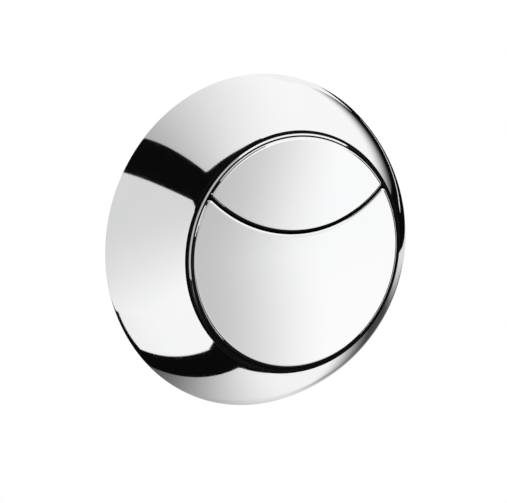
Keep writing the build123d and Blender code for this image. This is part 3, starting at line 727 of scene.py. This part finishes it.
def makeCardMaterial(name, levelFrom, levelTo, along=(1, 0, 0), start=0.0, end=1.0):
    material = bpy.data.materials.new(name)
    material.use_nodes = True
    tree = material.node_tree
    tree.nodes.clear()
    output = tree.nodes.new("ShaderNodeOutputMaterial")
    glow = tree.nodes.new("ShaderNodeEmission")
    place = tree.nodes.new("ShaderNodeTexCoord")
    measure = tree.nodes.new("ShaderNodeVectorMath")
    measure.operation = "DOT_PRODUCT"
    measure.inputs[1].default_value = along
    ramp = tree.nodes.new("ShaderNodeMapRange")
    ramp.interpolation_type = "SMOOTHSTEP"
    ramp.inputs["From Min"].default_value = start * studio["reach"]
    ramp.inputs["From Max"].default_value = end * studio["reach"]
    ramp.inputs["To Min"].default_value = levelFrom
    ramp.inputs["To Max"].default_value = levelTo
    linkNodes(
        tree,
        (place.outputs["Object"], measure.inputs[0]),
        (measure.outputs["Value"], ramp.inputs["Value"]),
        (ramp.outputs["Result"], glow.inputs["Strength"]),
        (glow.outputs["Emission"], output.inputs["Surface"]),
    )
    return material


def addCard(name, material, *corners):
    startFresh()
    bpy.ops.mesh.primitive_plane_add(size=2)
    card = bpy.context.object
    card.name = name
    for index, corner in zip((0, 1, 3, 2), corners):  # round the plane, whose points are numbered in rows
        card.data.vertices[index].co = corner
    card.data.materials.append(material)
    card.rotation_euler.y = math.radians(studio["turn"])
    card.visible_camera = False
    card.visible_diffuse = False
    card.visible_shadow = False


def onSide(x, y, z):  # point of the mirrored room, by shares of its reach
    return Vector((x, y, z)) * studio["reach"]


def onLeft(y, z, inset):
    return onSide(inset - 1, y, z)


def onRight(y, z, inset):
    return onSide(1 - inset, y, z)


def onTop(x, y, inset):
    return onSide(x, y, 1 - inset)


def onFloor(x, y, inset):
    return onSide(x, y, inset - 1)


def onFront(x, z, inset):
    return onSide(x, inset - 1, z)


def onBack(x, z, inset):
    return onSide(x, 1 - inset, z)


def oblong(low, high):
    return low, (high[0], low[1]), high, (low[0], high[1])


# brightness from and to, the direction it changes in, and where on it the change starts and ends
glows = {
    "cardBlack": (0.003, 0.003),
    "cardWhite": (1.0, 1.0),
    "leftGlow": (0.72, 1.0, (0, -0.45, -1), -0.3, 1.0),
    "leftFloor": (1.0, 0.92, (0, 1, 0), 0.0, 0.9),
    "topGlow": (0.42, 1.0, (1, -0.35, 0), -1.35, 0.55),
    "frontGlow": (0.58, 1.04, (1, 0, -0.27), 0.346, 0.666),
    "frontLowGlow": (0.58, 1.04, (1, 0, 0.27), 0.254, 0.574),
    "frontDusk": (0.5, 0.5),
    "frontLeft": (0.55, 0.003, (1, 0, 0), -0.5, -0.2),
    "frontFade": (0.01, 0.75, (0.55, 0, 1), -0.6, -0.1),
    "floorGlow": (0.12, 0.95, (1, -0.6, 0), -0.62, 0.38),
    "rightFade": (0.003, 1.0, (0, -0.5, 1), -0.2, 0.27),
    "rightDusk": (0.06, 0.75, (0, 0, 1), -0.42, -0.2),
    "rightRise": (0.06, 0.95, (0, 0, -1), 0.5, 1.0),
    "backLow": (0.4, 0.86, (1, 0, 0), 0.35, 0.85),
    "backRight": (0.75, 0.1, (1, 0, 0.4), 0.43, 0.8),
    "backHigh": (0.94, 0.94),
}
glowMaterials = {name: makeCardMaterial(name, *glow) for name, glow in glows.items()}

# glow, wall, corners on that wall and distance from it, all in shares of the reach
cards = {
    "leftBox": ("leftGlow", onLeft, oblong((-1.6, -1), (2, 0.589)), 0),
    "leftBack": ("cardBlack", onLeft, ((0.85, -1), (1.0, -0.5), (2, -0.5), (2, -1)), 0.01),
    "leftGap": ("cardBlack", onLeft, oblong((-2, 0.589), (2.2, 1.4)), 0),
    "leftCorner": ("cardBlack", onLeft, ((-0.58, 0.6), (-0.9, 0.6), (-0.9, 0.28), (-0.85, 0.33)), 0.01),
    "topBox": ("topGlow", onTop, oblong((-0.79, -0.55), (2, 2)), 0),
    "topGap": ("cardBlack", onTop, ((-1.4, -0.7), (0.08, -0.36), (0.21, -1), (-1.4, -1)), 0.01),
    "frontGap": ("frontDusk", onFront, oblong((-1.66, -0.3), (2.2, 1)), 0),
    "frontLow": ("frontLeft", onFront, oblong((-1.66, -1), (2.2, -0.3)), 0),
    "frontBox": ("frontGlow", onFront, oblong((0.05, -0.17), (2.2, 0.15)), 0.02),
    "frontLowBox": (
        "frontLowGlow", onFront, ((0.05, -0.17), (0.127, -0.17), (2.2, -1.31), (2.2, -0.17)), 0.02,
    ),
    "frontFade": ("frontFade", onFront, ((-0.2, -0.55), (2.2, -1.9), (2.2, -1.31), (-0.2, 0.01)), 0.015),
    "frontHigh": ("cardWhite", onFront, ((0.05, 0.15), (2.2, 0.15), (2.2, 1.3), (0.21, 1.3)), 0.02),
    "floorBox": ("floorGlow", onFloor, ((-0.5, 2), (2, 2), (2, -1), (0.1, -1)), 0),
    "floorLeft": ("leftFloor", onFloor, ((-1, 2), (-0.6, 2), (-0.1, -1), (-1, -1)), 0.005),
    "floorGap": ("cardBlack", onFloor, ((-0.65, 2), (-0.47, 2), (0.325, -1), (-0.126, -1)), 0.01),
    "floorBack": ("cardBlack", onFloor, ((-1, 2), (-0.3, 2), (-0.42, 0.67), (-1, 0.83)), 0.012),
    "floorCorner": (
        "cardBlack", onFloor, ((-0.28, -0.15), (-0.2, -0.15), (-0.2, -0.4), (-0.33, -0.3)), 0.015,
    ),
    "floorFront": ("cardBlack", onFloor, ((-0.29, -0.03), (0.09, -0.03), (0.2, -1), (-0.126, -1)), 0.02),
    "floorShade": ("cardBlack", onFloor, ((0.09, -0.03), (1.5, 0.42), (1.5, -1), (0.2, -1)), 0.02),
    "rightGap": ("cardBlack", onRight, oblong((-0.85, -0.7), (-0.16, 0.5)), 0),
    "rightFade": ("rightFade", onRight, oblong((0.2, 0.1), (2.5, 0.9)), 0),
    "rightBand": ("cardBlack", onRight, oblong((0.2, -0.18), (2.5, 0.1)), 0),
    "rightLine": ("cardWhite", onRight, ((0.62, -0.05), (1.15, 0.085), (1.15, 0.12), (0.62, -0.025)), 0.01),
    "rightDusk": ("rightDusk", onRight, oblong((0.2, -0.55), (2.5, -0.18)), 0),
    "rightRise": ("rightRise", onRight, oblong((0.2, -0.95), (2.5, -0.55)), 0),
    "backLow": ("backLow", onBack, oblong((-0.9, -1.2), (0.98, -0.25)), 0),
    "backRight": ("backRight", onBack, oblong((0.72, -0.8), (1.0, -0.25)), 0.01),
    "backHigh": ("backHigh", onBack, oblong((-0.9, 0.25), (0.98, 1.3)), 0),
}
for name, (glow, wall, corners, inset) in cards.items():
    addCard(name, glowMaterials[glow], *(wall(*corner, inset) for corner in corners))
print("studio cards hung:", len(cards))


def addFloor():
    startFresh()
    bpy.ops.mesh.primitive_plane_add(size=studio["floorSize"], location=(0, 0, -studio["floorDrop"]))
    floor = bpy.context.object
    floor.name = "floor"
    material = bpy.data.materials.new("paleFloor")
    material.use_nodes = True
    tree = material.node_tree
    shader = tree.nodes["Principled BSDF"]
    output = tree.nodes["Material Output"]
    shader.inputs["Base Color"].default_value = studio["floorColour"]
    shader.inputs["Roughness"].default_value = studio["floorRough"]
    glow = tree.nodes.new("ShaderNodeEmission")
    rays = tree.nodes.new("ShaderNodeLightPath")
    blend = tree.nodes.new("ShaderNodeMixShader")
    linkNodes(
        tree,
        (rays.outputs["Is Camera Ray"], blend.inputs[0]),
        (shader.outputs["BSDF"], blend.inputs[1]),
        (glow.outputs["Emission"], blend.inputs[2]),
        (blend.outputs["Shader"], output.inputs["Surface"]),
    )
    floor.data.materials.append(material)
    floor.visible_glossy = False


addFloor()


def addWorld():
    world = bpy.data.worlds.new("studio")
    bpy.context.scene.world = world
    world.use_nodes = True
    tree = world.node_tree
    background = tree.nodes["Background"]
    background.inputs["Color"].default_value = (1, 1, 1, 1)
    rays = tree.nodes.new("ShaderNodeLightPath")
    either = tree.nodes.new("ShaderNodeMath")
    either.operation = "MAXIMUM"
    through = tree.nodes.new("ShaderNodeMath")
    through.operation = "MAXIMUM"
    level = tree.nodes.new("ShaderNodeMapRange")
    level.inputs["To Min"].default_value = studio["light"]
    level.inputs["To Max"].default_value = studio["backdrop"]
    linkNodes(
        tree,
        (rays.outputs["Is Camera Ray"], either.inputs[0]),
        (rays.outputs["Is Glossy Ray"], either.inputs[1]),
        (either.outputs[0], through.inputs[0]),
        (rays.outputs["Is Transmission Ray"], through.inputs[1]),
        (through.outputs[0], level.inputs["Value"]),
        (level.outputs["Result"], background.inputs["Strength"]),
    )


addWorld()
bpy.context.scene.view_settings.view_transform = "Standard"
print("studio ready")
